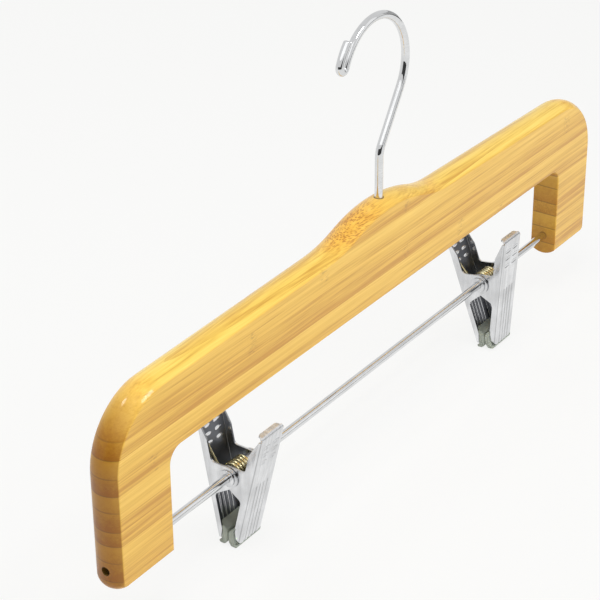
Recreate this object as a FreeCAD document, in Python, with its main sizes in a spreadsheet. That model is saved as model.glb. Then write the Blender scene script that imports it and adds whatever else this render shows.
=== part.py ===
"""Skirt hanger: a bamboo board with a swivel hook, and two spring clips that run on a steel rod.

The origin is on the inside of the hook, straight above the swivel axis, where a rail carries it.
X runs along the board, Y through its thickness (the front is -Y) and Z up. Lengths are millimetres.
"""
import FreeCAD
import Part
import Sketcher
import math
import os

Vector = FreeCAD.Vector
Rotation = FreeCAD.Rotation
Placement = FreeCAD.Placement

X_AXIS = Vector(1, 0, 0)
Y_AXIS = Vector(0, 1, 0)
Z_AXIS = Vector(0, 0, 1)
HALF_TURN = 180.0
FULL_TURN = 360.0

# Driving sizes. Heights of the board and the hook are above the feet of the legs; heights and
# drops on a clip are above and below the rod, square to the rod and along the leaning jaw.
SIZES = {
    # Bamboo board
    "board_length": 360.0,
    "board_thickness": 13.0,
    "leg_width": 31.8,
    "opening_height": 45.6,
    "shoulder_height": 79.7,
    "shoulder_fall": 3.1,
    "hump_height": 7.7,
    "hump_flank_angle": 18.3,
    "hump_crest_radius": 78.0,
    "hump_foot_radius": 66.0,
    "outer_corner_radius": 30.0,
    "inner_corner_radius": 6.5,
    "foot_corner_radius": 4.5,
    "crown_height": 2.7,
    "edge_ease": 0.8,
    "cut_overrun": 0.2,
    # Rod between the legs
    "rod_diameter": 3.5,
    "rod_height": 9.1,
    "rod_recess": 12.0,
    "rod_chamfer": 0.4,
    "rod_end_gap": 1.0,
    "seat_clearance": 0.03,
    # Hook and what holds it in the board
    "wire_diameter": 3.5,
    "hook_radius": 22.7,
    "hook_offset": 4.0,
    "hook_bend_height": 107.5,
    "hook_bend_radius": 9.0,
    "hook_lean_angle": 33.0,
    "hook_tip_angle": 158.0,
    "fold_radius": 1.9,
    "fold_end_angle": 136.0,
    "wire_end_round": 0.8,
    "swivel_clearance": 0.08,
    "counterbore_diameter": 9.4,
    "counterbore_depth": 9.0,
    "washer_diameter": 8.8,
    "washer_thickness": 1.0,
    "head_diameter": 6.4,
    "head_thickness": 1.6,
    "head_gap": 0.1,
    # Jaws of the clips
    "clip_width": 17.0,
    "sheet_thickness": 0.8,
    "ear_gap": 0.2,
    "jaw_distance": 10.6,
    "jaw_lean_angle": 11.9,
    "jaw_top": 24.7,
    "jaw_bottom": 29.6,
    "jaw_bend_radius": 1.1,
    "lip_radius": 1.3,
    "lip_flat": 1.9,
    "lip_flat_round": 1.5,
    "tab_corner_radius": 1.9,
    "jaw_end_radius": 3.6,
    "tab_wall_depth": 3.9,
    "tab_wall_height": 15.3,
    "ear_root_depth": 4.0,
    "ear_root_height": 6.2,
    "ear_root_radius": 2.0,
    "ear_radius": 4.7,
    "jaw_wall_depth": 2.9,
    "jaw_wall_start": 8.2,
    "jaw_wall_end": 24.0,
    "flute_width": 1.3,
    "flute_depth": 0.25,
    "flute_start": 0.8,
    "flute_end": 30.0,
    "flute_pitch": 2.4,
    "dent_length": 5.4,
    "dent_width": 1.8,
    "dent_depth": 0.3,
    "dent_curve": 0.75,
    "dent_start": 11.4,
    "dent_row": 3.7,
    "dent_column": 6.2,
    "left_clip_place": 98.3,
    "left_clip_tilt": 1.5,
    "right_clip_place": 94.7,
    "right_clip_tilt": -8.8,
    # Hollow rivet through the ears
    "sleeve_wall": 0.9,
    "rim_overhang": 0.8,
    "rim_thickness": 0.6,
    "rim_round": 0.25,
    "running_clearance": 0.08,
    # Torsion spring
    "spring_wire": 1.15,
    "spring_radius": 4.3,
    "spring_pitch": 1.66,
    "spring_leg_angle": 33.0,
    "spring_side_gap": 0.5,
    # Soft grips at the ends of the jaws
    "grip_gap": 0.3,
    "grip_top": 23.5,
    "grip_face_top": 25.3,
    "grip_face_bottom": 30.3,
    "grip_bottom": 32.2,
    "grip_nose": 1.45,
    "grip_round": 1.2,
    "grip_edge_round": 0.45,
    "grip_side_clearance": 0.35,
    "grip_wall_gap": 0.15,
    "grip_end_inset": 0.2,
}

FLUTES = 4
DENT_ROWS = 3
SPRING_WHOLE_TURNS = 5
SPRING_ARCS_PER_TURN = 4
SPRING_POINTS_PER_TURN = 90
# Rim, shoulder and flat of the hook's upset head, across its radius and down its thickness.
HEAD_DOME_SHARES = ((1.0, 0.3), (0.85, 0.75), (0.5, 1.0))
TINY = 1e-7


def cosd(angle):
    return math.cos(math.radians(angle))


def sind(angle):
    return math.sin(math.radians(angle))


def tand(angle):
    return math.tan(math.radians(angle))


def hook_sizes(s):
    """Height of the hook's centre, and of the place inside it that rests on a rail."""
    reach = s["hook_radius"] * cosd(s["hook_lean_angle"]) - s["hook_offset"]
    run = reach / sind(s["hook_lean_angle"])
    rise = run * cosd(s["hook_lean_angle"]) + s["hook_radius"] * sind(s["hook_lean_angle"])
    centre = s["hook_bend_height"] + rise
    inside = s["hook_radius"] - s["wire_diameter"] / 2
    return {
        "hook_centre_height": centre,
        "seat_height": centre + math.sqrt(inside ** 2 - s["hook_offset"] ** 2),
    }


def board_sizes(s):
    crest = s["shoulder_height"] + s["hump_height"]
    apex = crest + s["hump_crest_radius"] * (1 / cosd(s["hump_flank_angle"]) - 1)
    half_thickness = s["board_thickness"] / 2
    half_length = s["board_length"] / 2
    return {
        "half_length": half_length,
        "end_height": s["shoulder_height"] - s["shoulder_fall"],
        "leg_inside": half_length - s["leg_width"],
        "crest_height": crest,
        "hump_apex": apex,
        "hump_half_width": (apex - s["shoulder_height"]) / tand(s["hump_flank_angle"]),
        "crown_radius": (half_thickness ** 2 + s["crown_height"] ** 2) / (2 * s["crown_height"]),
        "shoulder_seat": s["opening_height"] + s["counterbore_depth"],
        "counterbore_radius": s["counterbore_diameter"] / 2,
        "rod_radius": s["rod_diameter"] / 2,
        "rod_bore": s["rod_diameter"] / 2 + s["seat_clearance"],
        "rod_length": 2 * (half_length - s["rod_recess"]),
    }


def swivel_sizes(s):
    wire_radius = s["wire_diameter"] / 2
    return {
        "wire_radius": wire_radius,
        "swivel_bore": wire_radius + s["swivel_clearance"],
        "washer_radius": s["washer_diameter"] / 2,
        "head_top": s["shoulder_seat"] - s["washer_thickness"] - s["head_gap"],
    }


def clip_sizes(s):
    ear_step = s["sheet_thickness"] + s["ear_gap"]
    sleeve_bore = s["rod_diameter"] / 2 + s["running_clearance"]
    sleeve_radius = sleeve_bore + s["sleeve_wall"]
    jaw_width = s["clip_width"] - ear_step
    side = s["sheet_thickness"] + s["grip_side_clearance"]
    flute_radius = ((s["flute_width"] / 2) ** 2 + s["flute_depth"] ** 2) / (2 * s["flute_depth"])
    dent_share = math.sqrt(1 - (1 - s["dent_depth"] / s["dent_curve"]) ** 2)
    return {
        "ear_step": ear_step,
        "jaw_width": jaw_width,
        "jaw_middle": -ear_step / 2,
        "channel_length": s["jaw_top"] - s["lip_radius"] + s["jaw_bottom"],
        "lip_length": jaw_width - 2 * s["jaw_bend_radius"],
        "lip_flat_length": jaw_width - 2 * s["tab_corner_radius"],
        "ear_bore": sleeve_radius + s["running_clearance"],
        "flute_length": s["flute_end"] - s["flute_start"],
        "flute_radius": flute_radius,
        "flute_axis": s["jaw_distance"] + flute_radius - s["flute_depth"],
        "dent_half_length": s["dent_length"] / 2 / dent_share,
        "dent_half_width": s["dent_width"] / 2 / dent_share,
        "dent_middle": s["jaw_distance"] + s["dent_curve"] - s["dent_depth"],
        "sleeve_bore": sleeve_bore,
        "sleeve_radius": sleeve_radius,
        "sleeve_half_length": s["clip_width"] / 2 + s["running_clearance"],
        "seat_face": s["jaw_distance"] - s["sheet_thickness"] - s["seat_clearance"],
        "grip_length": jaw_width - 2 * side,
        "grip_head_length": s["clip_width"] - 2 * s["grip_end_inset"],
    }


for family in (hook_sizes, board_sizes, swivel_sizes, clip_sizes):
    SIZES.update(family(SIZES))

doc = FreeCAD.newDocument("skirt_hanger")
sheet = doc.addObject("Spreadsheet::Sheet", "Sizes")
for row, (name, value) in enumerate(SIZES.items(), start=1):
    sheet.set(f"A{row}", name)
    sheet.set(f"B{row}", f"{value:.9g}")
    sheet.setAlias(f"B{row}", name)
doc.recompute()


def size(name):
    """A size as the sheet holds it."""
    return float(sheet.get(name))


def bind(item, **cells):
    """Tie properties of a feature to cells of the sheet."""
    for prop, cell in cells.items():
        item.setExpression(prop, f"Sizes.{cell}")


def new_body(label):
    body = doc.addObject("PartDesign::Body", label)
    body.Label = label
    return body


def attach(item, body, role, offset=Vector()):
    """Lay a sketch or a primitive on one of its body's own origin planes, moved in its frame."""
    planes = {plane.Role: plane for plane in body.Origin.OriginFeatures}
    item.AttachmentSupport = (planes[role], [""])
    item.MapMode = "FlatFace"
    item.AttachmentOffset = Placement(offset, Rotation())


def new_sketch(body, name, role, geometry, level=0):
    """A sketch on an origin plane, a given way out along the plane's normal."""
    sketch = body.newObject("Sketcher::SketchObject", name)
    attach(sketch, body, role, Vector(0, 0, level))
    sketch.addGeometry(geometry, False)
    return sketch


def new_circles(body, name, role, radius_cell, centres=(Vector(),), level=0):
    """A sketch of equal circles whose radii follow a cell."""
    circles = [Part.Circle(centre, Z_AXIS, size(radius_cell)) for centre in centres]
    sketch = new_sketch(body, name, role, circles, level)
    for i in range(len(circles)):
        rule = sketch.addConstraint(Sketcher.Constraint("Radius", i, size(radius_cell)))
        sketch.setExpression(f"Constraints[{rule}]", f"Sizes.{radius_cell}")
    return sketch


def pad(body, name, sketch, length_cell, side="One side"):
    feature = body.newObject("PartDesign::Pad", name)
    feature.Profile = sketch
    feature.SideType = side
    bind(feature, Length=length_cell)
    return feature


def pocket(body, name, sketch, length_cell=None):
    """Cut a sketch away against its plane's normal, right through or to a bound depth."""
    feature = body.newObject("PartDesign::Pocket", name)
    feature.Profile = sketch
    if length_cell:
        bind(feature, Length=length_cell)
    else:
        feature.Type = "ThroughAll"
    return feature


def corner(before, point, after, radius):
    """Start, middle and end of the arc that rounds a corner."""
    back = (before - point).normalize()
    ahead = (after - point).normalize()
    half = back.getAngle(ahead) / 2
    inward = (back + ahead).normalize()
    reach = radius / math.tan(half)
    bottom = radius / math.sin(half) - radius
    return point + back * reach, point + inward * bottom, point + ahead * reach


def rounded(corners, closed=True):
    """Lines and tangent arcs along corners (x, y, radius); a corner of radius 0 stays sharp."""
    points = [Vector(x, y, 0) for x, y, radius in corners]
    stops = []
    for i, (x, y, radius) in enumerate(corners):
        if radius:
            stops.append(corner(points[i - 1], points[i], points[(i + 1) % len(points)], radius))
        else:
            stops.append((points[i], None, points[i]))
    edges = []
    for i, (start, middle, end) in enumerate(stops):
        if middle:
            edges.append(Part.Arc(start, middle, end))
        onward = stops[(i + 1) % len(stops)][0]
        last = i == len(stops) - 1
        if end.distanceToPoint(onward) > TINY and (closed or not last):
            edges.append(Part.LineSegment(end, onward))
    return edges


def rectangle(x0, y0, x1, y1):
    return rounded([(x0, y0, 0), (x1, y0, 0), (x1, y1, 0), (x0, y1, 0)])


def board_edge(margin):
    """Corners of the board's outer edge from the left foot to the right one, a margin outside it."""
    side = size("half_length") + margin
    left = [
        (-side, -margin, size("foot_corner_radius")),
        (-side, size("end_height") + margin, size("outer_corner_radius")),
        (-size("hump_half_width"), size("shoulder_height") + margin, size("hump_foot_radius")),
    ]
    right = [(-x, z, radius) for x, z, radius in reversed(left)]
    return left + [(0, size("hump_apex") + margin, size("hump_crest_radius"))] + right


def crown_section(reach):
    """What is shaved off the board's edge: all that lies outside the crown's arc."""
    half = size("board_thickness") / 2 + size("cut_overrun")
    drop = size("crown_radius") - math.sqrt(size("crown_radius") ** 2 - half ** 2)
    left, right = Vector(-half, drop, 0), Vector(half, drop, 0)
    low_left, low_right = Vector(-half, -reach, 0), Vector(half, -reach, 0)
    return [
        Part.Arc(left, Vector(), right),
        Part.LineSegment(right, low_right),
        Part.LineSegment(low_right, low_left),
        Part.LineSegment(low_left, left),
    ]


def face_edges(shape, level):
    """Names of the edges that lie in the board's front and back faces."""
    names = []
    for i, edge in enumerate(shape.Edges, start=1):
        box = edge.BoundBox
        flat = box.YLength < TINY * level
        if flat and abs(abs(box.YMin) - level) < TINY * level:
            names.append(f"Edge{i}")
    return names


def make_board():
    """The board: an upside-down U with a low hump, crowned along its whole outer edge."""
    body = new_body("bamboo_board")
    over = size("cut_overrun")
    inside = size("leg_inside")
    top = size("opening_height")
    opening = [
        (inside, -over, 0),
        (inside, top, size("inner_corner_radius")),
        (-inside, top, size("inner_corner_radius")),
        (-inside, -over, 0),
    ]
    outline = new_sketch(body, "board_outline", "XZ_Plane", rounded(board_edge(over) + opening))
    pad(body, "board_blank", outline, "board_thickness", "Symmetric")

    start = inside - over
    ends = [(-start, 0, 0)], [(start, 0, 0)]
    path = new_sketch(body, "edge_path", "XZ_Plane", rounded(ends[0] + board_edge(0) + ends[1], False))
    section = new_sketch(body, "crown_section", "YZ_Plane", crown_section(size("crown_height")), -start)
    crown = body.newObject("PartDesign::SubtractivePipe", "crowned_edge")
    crown.Profile = section
    crown.Spine = path
    doc.recompute()

    eased = body.newObject("PartDesign::Fillet", "eased_edges")
    eased.Base = (crown, face_edges(crown.Shape, size("board_thickness") / 2))
    bind(eased, Radius="edge_ease")

    height = size("rod_height")
    blind_end = size("rod_length") / 2 + size("rod_end_gap")
    pocket(body, "rod_bore", new_circles(
        body, "rod_bore_circle", "YZ_Plane", "rod_bore", [Vector(0, height, 0)], blind_end))
    pocket(body, "swivel_bore", new_circles(
        body, "swivel_circle", "XY_Plane", "swivel_bore", level=size("crest_height") + over))
    pocket(body, "counterbore", new_circles(
        body, "counterbore_circle", "XY_Plane", "counterbore_radius", level=size("shoulder_seat")))
    body.Placement = Placement(Vector(0, 0, -size("seat_height")), Rotation())


def make_rod():
    body = new_body("crossbar_rod")
    circle = new_circles(body, "rod_circle", "YZ_Plane", "rod_radius")
    bar = pad(body, "rod_bar", circle, "rod_length", "Symmetric")
    doc.recompute()
    ends = [f"Edge{i}" for i, edge in enumerate(bar.Shape.Edges, start=1) if edge.isClosed()]
    chamfer = body.newObject("PartDesign::Chamfer", "rod_ends")
    chamfer.Base = (bar, ends)
    bind(chamfer, Size="rod_chamfer")
    body.Placement = Placement(Vector(0, 0, size("rod_height") - size("seat_height")), Rotation())


def hook_path(start):
    """Centre line of the hook: up the swivel axis, out along the lean, round, and folded back."""
    lean, radius, fold = size("hook_lean_angle"), size("hook_radius"), size("fold_radius")
    turn, end = size("hook_tip_angle"), size("fold_end_angle")
    centre = Vector(-size("hook_offset"), size("hook_centre_height"), 0)

    def on_arc(angle, out=0.0):
        return centre + Vector(cosd(angle), sind(angle), 0) * (radius + out)

    first, tip = on_arc(-lean), on_arc(turn)
    bend = (0, size("hook_bend_height"), size("hook_bend_radius"))
    shank = rounded([(0, start, 0), bend, (first.x, first.y, 0)], False)
    ahead = Vector(-sind(turn), cosd(turn), 0)
    return shank + [
        Part.Arc(first, on_arc((turn - lean) / 2), tip),
        Part.Arc(tip, on_arc(turn, fold) + ahead * fold, on_arc(turn, 2 * fold)),
        Part.Arc(on_arc(turn, 2 * fold), on_arc((turn + end) / 2, 2 * fold), on_arc(end, 2 * fold)),
    ]


def edge_round(shape, centre):
    """Name of the edge that runs round a point."""
    gaps = [(edge.CenterOfMass - centre).Length for edge in shape.Edges]
    return f"Edge{gaps.index(min(gaps)) + 1}"


def make_hook_wire():
    body = new_body("hook_wire")
    top, depth = size("head_top"), size("head_thickness")
    radius = size("head_diameter") / 2
    rim, shoulder, flat = [Vector(radius * x, top - depth * z, 0) for x, z in HEAD_DOME_SHARES]
    upper, lower = Vector(0, top, 0), Vector(0, top - depth, 0)
    head_section = new_sketch(body, "head_section", "XZ_Plane", [
        Part.LineSegment(upper, Vector(radius, top, 0)),
        Part.LineSegment(Vector(radius, top, 0), rim),
        Part.Arc(rim, shoulder, flat),
        Part.LineSegment(flat, lower),
        Part.LineSegment(lower, upper),
    ])
    head = body.newObject("PartDesign::Revolution", "upset_head")
    head.Profile = head_section
    head.ReferenceAxis = (head_section, ["V_Axis"])
    head.Angle = FULL_TURN

    start = top - depth / 2
    path = new_sketch(body, "hook_path", "XZ_Plane", hook_path(start))
    wire = body.newObject("PartDesign::AdditivePipe", "bent_wire")
    wire.Profile = new_circles(body, "wire_circle", "XY_Plane", "wire_radius", level=start)
    wire.Spine = path
    doc.recompute()

    eased = body.newObject("PartDesign::Fillet", "eased_wire_end")
    last = path.Geometry[-1].EndPoint
    eased.Base = (wire, [edge_round(wire.Shape, Vector(last.x, 0, last.y))])
    bind(eased, Radius="wire_end_round")
    body.Placement = Placement(Vector(0, 0, -size("seat_height")), Rotation())


def make_washer():
    body = new_body("hook_washer")
    pad(body, "washer_disc", new_circles(body, "washer_rim", "XY_Plane", "washer_radius"), "washer_thickness")
    pocket(body, "washer_bore", new_circles(
        body, "washer_bore_circle", "XY_Plane", "swivel_bore", level=size("washer_thickness")))
    place = size("shoulder_seat") - size("washer_thickness") - size("seat_height")
    body.Placement = Placement(Vector(0, 0, place), Rotation())


def tangent_apex(above, below, radius):
    """Where the tangents from two points meet beyond a circle round the pivot."""
    turns = []
    for point, sign in ((above, 1), (below, -1)):
        spread = math.acos(radius / math.hypot(*point))
        turns.append(math.atan2(point[1], point[0]) + sign * spread)
    middle = (turns[0] + turns[1]) / 2 + math.pi
    reach = radius / math.cos(turns[0] - middle)
    return reach * math.cos(middle), reach * math.sin(middle)


def channel_section():
    """The jaw's folded sheet, seen along the jaw: a plate with a wall on each side."""
    sheet_t, out, over = size("sheet_thickness"), size("jaw_distance"), size("cut_overrun")
    bend = size("jaw_bend_radius")
    low = -size("ear_radius") - over
    left = -size("clip_width") / 2
    right = left + size("jaw_width")
    return rounded([
        (left, low, 0), (left, out, bend), (right, out, bend), (right, low, 0),
        (right - sheet_t, low, 0), (right - sheet_t, out - sheet_t, bend - sheet_t),
        (left + sheet_t, out - sheet_t, bend - sheet_t), (left + sheet_t, low, 0),
    ])


def lip_section():
    """The tab's end, rolled in by a quarter turn."""
    outer, sheet_t = size("lip_radius"), size("sheet_thickness")
    centre = Vector(size("jaw_distance") - outer, size("jaw_top") - outer, 0)
    inner = outer - sheet_t
    across, up = Vector(1, 0, 0), Vector(0, 1, 0)
    slant = (across + up).normalize()
    arcs = [Part.Arc(centre + across * r, centre + slant * r, centre + up * r) for r in (outer, inner)]
    return arcs + [
        Part.LineSegment(centre + up * outer, centre + up * inner),
        Part.LineSegment(centre + across * outer, centre + across * inner),
    ]


def lip_flat_outline():
    """The flat that the lip ends in, seen along the jaw."""
    near = size("jaw_distance") - size("lip_radius")
    far = near - size("lip_flat")
    left = size("jaw_middle") - size("lip_flat_length") / 2
    right = left + size("lip_flat_length")
    soft = size("lip_flat_round")
    return rounded([(left, near, 0), (left, far, soft), (right, far, soft), (right, near, 0)])


def jaw_side():
    """The jaw seen along the rod: plate, rolled lip, tab walls, round ears and jaw walls."""
    out, over, sheet_t = size("jaw_distance"), size("cut_overrun"), size("sheet_thickness")
    top, bottom = size("jaw_top") + over, -size("jaw_bottom") - over
    lip_base = size("jaw_top") - size("lip_radius") + over
    lip_edge = out - size("lip_radius") - over
    above = (out - size("ear_root_depth"), size("ear_root_height"))
    below = (out - size("jaw_wall_depth"), -size("jaw_wall_start"))
    ear = tangent_apex(above, below, size("ear_radius"))
    soft = size("ear_root_radius")
    return rounded([
        (out + over, top, 0), (lip_edge, top, 0), (lip_edge, lip_base, 0),
        (out - sheet_t - over, lip_base, 0),
        (out - size("tab_wall_depth"), size("tab_wall_height"), soft),
        (*above, soft), (*ear, size("ear_radius")), (*below, soft),
        (out - size("jaw_wall_depth"), -size("jaw_wall_end"), soft),
        (out - sheet_t - over, bottom, 0), (out + over, bottom, 0),
    ])


def jaw_front():
    """The jaw's plate seen square on, a little wider than the sheet, with its rounded ends."""
    over = size("cut_overrun")
    left = -size("clip_width") / 2 - over
    right = left + size("jaw_width") + over + over
    top, bottom = size("jaw_top"), -size("jaw_bottom")
    high, low = size("tab_corner_radius"), size("jaw_end_radius")
    return rounded([(left, bottom, low), (left, top, high), (right, top, high), (right, bottom, low)])


def make_jaw(label):
    """One stamped jaw, in the frame of its own plate; the clip's two jaws are alike."""
    body = new_body(label)
    over = size("cut_overrun")
    side = size("clip_width") / 2 + over
    deep = size("ear_radius") + over
    far = size("jaw_distance") + over
    top, bottom = size("jaw_top") + over, -size("jaw_bottom") - over

    section = new_sketch(body, label + "_section", "XY_Plane", channel_section(), -size("jaw_bottom"))
    pad(body, label + "_channel", section, "channel_length")
    lip = new_sketch(body, label + "_lip_section", "YZ_Plane", lip_section(), size("jaw_middle"))
    pad(body, label + "_lip", lip, "lip_length", "Symmetric")

    around = rectangle(-deep - over, bottom - over, far + over, top + over)
    sides = new_sketch(body, label + "_side_trim", "YZ_Plane", around + jaw_side(), side)
    pocket(body, label + "_walls", sides)
    around = rectangle(-side - over, bottom, side + over, top)
    front = new_sketch(body, label + "_front_trim", "XZ_Plane", around + jaw_front(), deep)
    pocket(body, label + "_ends", front)

    flat = new_sketch(body, label + "_lip_flat_outline", "XY_Plane", lip_flat_outline(),
                      size("jaw_top") - size("sheet_thickness"))
    pad(body, label + "_lip_flat", flat, "sheet_thickness")

    pocket(body, label + "_pivot_hole", new_circles(
        body, label + "_pivot_circle", "YZ_Plane", "ear_bore", level=side))
    first = size("jaw_middle") - size("flute_pitch") * (FLUTES - 1) / 2
    row = [Vector(first + i * size("flute_pitch"), size("flute_axis"), 0) for i in range(FLUTES)]
    pocket(body, label + "_flutes", new_circles(
        body, label + "_flute_circles", "XY_Plane", "flute_radius", row, -size("flute_start")),
        "flute_length")
    for i in range(DENT_ROWS):
        height = size("dent_start") + i * size("dent_row")
        for name, hand in (("left", -1), ("right", 1)):
            across = size("jaw_middle") + hand * size("dent_column") / 2
            dent = body.newObject("PartDesign::SubtractiveEllipsoid", f"{label}_{name}_dent_{i + 1}")
            attach(dent, body, "XY_Plane", Vector(across, size("dent_middle"), height))
            bind(dent, Radius1="dent_half_width", Radius2="dent_half_length", Radius3="dent_curve")
    return body


def make_sleeve(label):
    """Hollow rivet that joins the ears and runs on the rod."""
    body = new_body(label)
    half, bore = size("sleeve_half_length"), size("sleeve_bore")
    radius, soft = size("sleeve_radius"), size("rim_round")
    rim, end = radius + size("rim_overhang"), half + size("rim_thickness")
    section = new_sketch(body, label + "_section", "XY_Plane", rounded([
        (-end, bore, 0), (-end, rim, soft), (-half, rim, 0), (-half, radius, 0),
        (half, radius, 0), (half, rim, 0), (end, rim, soft), (end, bore, 0),
    ]))
    turned = body.newObject("PartDesign::Revolution", label + "_turned")
    turned.Profile = section
    turned.ReferenceAxis = (section, ["H_Axis"])
    turned.Angle = FULL_TURN
    return body


def to_jaw(y, z):
    """A place in the upright clip's section, in the frame of the leaning jaw."""
    lean = size("jaw_lean_angle")
    return y * cosd(lean) - z * sind(lean), y * sind(lean) + z * cosd(lean)


def on_jaw(y, level):
    """The place at a given level in the upright clip, a given way out in the jaw's frame."""
    lean = size("jaw_lean_angle")
    return y, (level + y * sind(lean)) / cosd(lean)


def grip_front():
    """Corners of the grip from the top of its meeting face, round the nose and under the plate."""
    face, out = size("grip_gap") / 2, size("jaw_distance")
    soft, small = size("grip_round"), size("grip_edge_round")
    return [
        (*to_jaw(face, -size("grip_face_top")), soft),
        (*to_jaw(face, -size("grip_face_bottom")), soft),
        (*to_jaw(face + size("grip_nose"), -size("grip_bottom")), small),
        (*on_jaw(out, -size("grip_bottom")), small),
        (out, -size("jaw_bottom") - size("seat_clearance"), 0),
    ]


def make_grip(label):
    """Soft grip in the jaw's end: a block between the walls and a head as wide as the clip."""
    body = new_body(label)
    seat, gap = size("seat_face"), size("grip_wall_gap")
    edge = size("jaw_distance") - size("jaw_wall_depth") - gap
    low_edge = size("jaw_distance") - size("sheet_thickness") - size("cut_overrun") - gap
    under = -size("jaw_bottom") - size("seat_clearance")
    block = new_sketch(body, label + "_block_section", "YZ_Plane", rounded(grip_front() + [
        (seat, under, 0),
        (*on_jaw(seat, -size("grip_top")), 0),
    ]), size("jaw_middle"))
    pad(body, label + "_block", block, "grip_length", "Symmetric")
    head = new_sketch(body, label + "_head_section", "YZ_Plane", rounded(grip_front() + [
        (low_edge, under, 0),
        (edge, -size("jaw_wall_end"), 0),
        (*on_jaw(edge, -size("grip_top")), 0),
    ]))
    pad(body, label + "_head", head, "grip_head_length", "Symmetric")
    return body


def arc_between(start, tangent, end):
    """The arc that leaves a point along a tangent and runs to another point."""
    chord = end - start
    along = Vector(chord).normalize()
    side = tangent - along * tangent.dot(along)
    if side.Length < TINY:
        return Part.LineSegment(start, end).toShape()
    sagitta = chord.Length / 2 * math.tan(tangent.getAngle(chord) / 2)
    middle = start + chord / 2 + side.normalize() * sagitta
    return Part.Arc(start, middle, end).toShape()


def biarc(start, out, end, into):
    """Two arcs that join two points and share their tangents there."""
    span, both = end - start, out + into
    slack = 2 * (1 - out.dot(into))
    reach = span.dot(both)
    length = (math.sqrt(reach ** 2 + slack * span.dot(span)) - reach) / slack
    joint = (start + out * length + end - into * length) / 2
    first = arc_between(start, out, joint)
    return [first, arc_between(joint, first.tangentAt(first.LastParameter), end)]


def spring_path():
    """Centre line of the spring: a straight leg, the coil round the sleeve, and the other leg."""
    lean, radius, pitch = size("spring_leg_angle"), size("spring_radius"), size("spring_pitch")
    wire = size("spring_wire") / 2
    inner_ear = size("clip_width") / 2 - size("sheet_thickness") - size("ear_step")
    start = -inner_ear + size("spring_side_gap") + wire
    sweep = FULL_TURN * SPRING_WHOLE_TURNS + HALF_TURN - 2 * lean
    arcs = SPRING_WHOLE_TURNS * SPRING_ARCS_PER_TURN + 1
    points, tangents = [], []
    for i in range(arcs + 1):
        turned = sweep * i / arcs
        angle = -lean - turned
        rise = pitch / math.radians(FULL_TURN) if 0 < i < arcs else 0
        points.append(Vector(start + pitch * turned / FULL_TURN, radius * cosd(angle), radius * sind(angle)))
        tangents.append(Vector(rise, radius * sind(angle), -radius * cosd(angle)).normalize())
    slope = lean - size("jaw_lean_angle")
    leg = (size("seat_face") - (radius + wire) * cosd(slope)) / sind(slope)
    first, last = points[0] - tangents[0] * leg, points[-1] + tangents[-1] * leg
    edges = [Part.LineSegment(first, points[0]).toShape()]
    for i in range(arcs):
        edges += biarc(points[i], tangents[i], points[i + 1], tangents[i + 1])
    return edges + [Part.LineSegment(points[-1], last).toShape()]


def least_gap(edges, wire):
    """The least gap between the wire and itself, over points more than half a turn apart."""
    path = Part.Wire(edges)
    half_turn = math.pi * size("spring_radius")
    count = int(path.Length / (2 * half_turn) * SPRING_POINTS_PER_TURN)
    points = path.discretize(Number=count)
    skip = int(count * half_turn / path.Length)
    return min(a.distanceToPoint(b) for i, a in enumerate(points) for b in points[i + skip:]) - wire


def make_spring(label):
    """Torsion spring: one wound wire whose legs press the two tabs apart."""
    edges = spring_path()
    tangent = edges[0].tangentAt(edges[0].FirstParameter)
    start = edges[0].Vertexes[0].Point
    ring = Part.Wire(Part.Circle(start, tangent, size("spring_wire") / 2).toShape())
    item = doc.addObject("Part::Feature", label)
    item.Label = label
    item.Shape = Part.Wire(edges).makePipeShell([ring], True, False)
    print(label, "least gap to itself", round(least_gap(edges, size("spring_wire")), 3))
    return item


def make_clip(side, place, tilt):
    """One clip: two jaws turned against each other on the sleeve, their grips, and the spring."""
    axis = Vector(place, 0, size("rod_height") - size("seat_height"))
    lean = size("jaw_lean_angle")
    upright = Placement(axis, Rotation(X_AXIS, tilt))
    back = Placement(axis, Rotation(X_AXIS, tilt - lean))
    front = Placement(axis, Rotation(X_AXIS, tilt + lean) * Rotation(Z_AXIS, HALF_TURN))
    for jaw_side_name, turn in (("back", back), ("front", front)):
        make_jaw(f"{side}_{jaw_side_name}_jaw").Placement = turn
        make_grip(f"{side}_{jaw_side_name}_grip").Placement = turn
    make_sleeve(f"{side}_pivot_sleeve").Placement = upright
    make_spring(f"{side}_spring").Placement = upright


def check_document():
    """Stop on a failed feature, an empty cut or a piece that is not one sound solid."""
    for item in doc.Objects:
        if "Invalid" in item.State or "Error" in item.State:
            raise RuntimeError(f"{item.Label}: {item.State}")
        if item.isDerivedFrom("PartDesign::FeatureSubtractive") or item.TypeId == "PartDesign::Pocket":
            if item.Shape.Volume >= item.BaseFeature.Shape.Volume - TINY:
                raise RuntimeError(f"{item.Label} cuts nothing")


def write_pieces():
    os.makedirs("parts", exist_ok=True)
    pieces = [item for item in doc.Objects if item.TypeId in ("PartDesign::Body", "Part::Feature")]
    for piece in pieces:
        shape = piece.Shape
        if shape.isNull() or not shape.isValid() or len(shape.Solids) != 1:
            raise RuntimeError(f"{piece.Label} is not one sound solid")
        shape.exportStep(f"parts/{piece.Label}.step")
        print(piece.Label, round(shape.Volume, 2))


make_board()
make_rod()
make_hook_wire()
make_washer()
make_clip("left", -size("left_clip_place"), size("left_clip_tilt"))
make_clip("right", size("right_clip_place"), size("right_clip_tilt"))
doc.recompute()
check_document()
write_pieces()
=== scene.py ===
"""Looks of the skirt hanger: finishes for its solid pieces, and its springs, grips and pressed bumps.

Lengths are metres. X runs along the board, Y through its thickness (the front is -Y) and Z up.
"""
import math
import bmesh
import bpy
from mathutils import Matrix, Vector


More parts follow.
